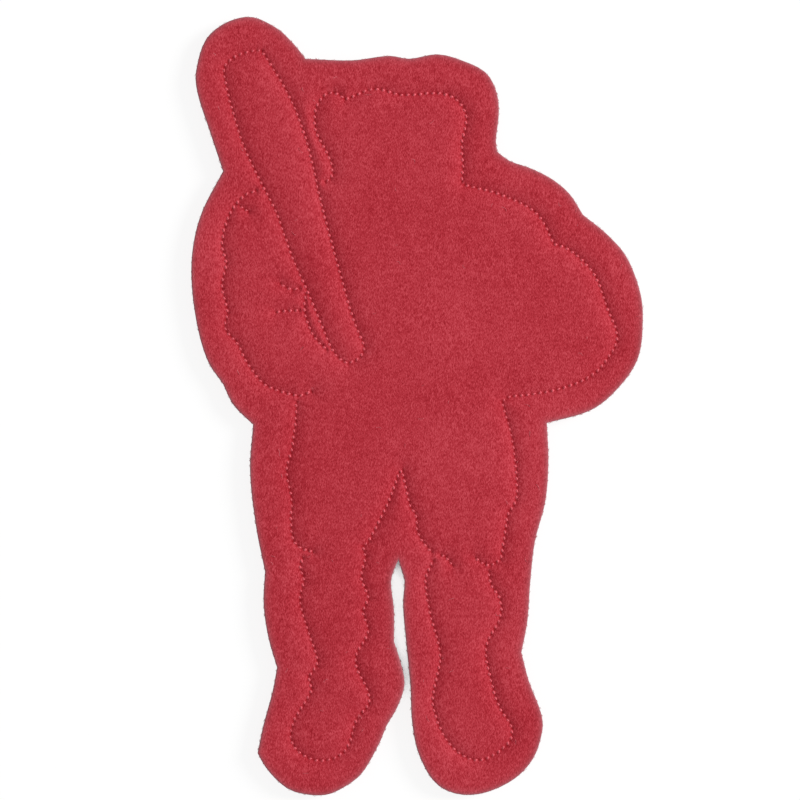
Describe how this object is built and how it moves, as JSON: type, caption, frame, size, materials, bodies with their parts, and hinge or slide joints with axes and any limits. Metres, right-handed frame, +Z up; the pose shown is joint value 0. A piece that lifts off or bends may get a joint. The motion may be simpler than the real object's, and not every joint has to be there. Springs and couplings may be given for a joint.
{
  "type": "sewn felt figure",
  "caption": "Flat ball player figure of thick red wool felt, outlined in tone-on-tone lockstitch, with thinner felt appliques sewn to its underside.",
  "frame": {"origin": "middle of the figure's box, on the surface that it lies on", "axes": "+Z up out of the plain face, +Y from the feet to the head, +X towards the side without the bat"},
  "size_m": [0.1506, 0.2596, 0.0052],
  "materials": {
    "wool_felt": "pressed wool felt, matte, with a short nap and cut edges",
    "applique_felt": "thin pressed wool felt, matte",
    "sewing_thread": "twisted sewing thread with a slight sheen"
  },
  "bodies": {
    "root": {"felt_figure": "wool_felt", "bat_applique": "applique_felt", "body_applique": "applique_felt", "left_leg_applique": "applique_felt", "right_leg_applique": "applique_felt", "bat_upper_thread": "sewing_thread", "bat_lower_thread": "sewing_thread", "head_upper_thread": "sewing_thread", "head_lower_thread": "sewing_thread", "right_arm_upper_thread": "sewing_thread", "right_arm_lower_thread": "sewing_thread", "right_hip_upper_thread": "sewing_thread", "right_hip_lower_thread": "sewing_thread", "right_hem_upper_thread": "sewing_thread", "right_hem_lower_thread": "sewing_thread", "right_leg_upper_thread": "sewing_thread", "right_leg_lower_thread": "sewing_thread", "crotch_upper_thread": "sewing_thread", "crotch_lower_thread": "sewing_thread", "left_leg_upper_thread": "sewing_thread", "left_leg_lower_thread": "sewing_thread", "left_hem_upper_thread": "sewing_thread", "left_hem_lower_thread": "sewing_thread", "left_hip_upper_thread": "sewing_thread", "left_hip_lower_thread": "sewing_thread", "left_arm_upper_thread": "sewing_thread", "left_arm_lower_thread": "sewing_thread", "hand_upper_thread": "sewing_thread", "hand_lower_thread": "sewing_thread"}
  },
  "joints": []
}
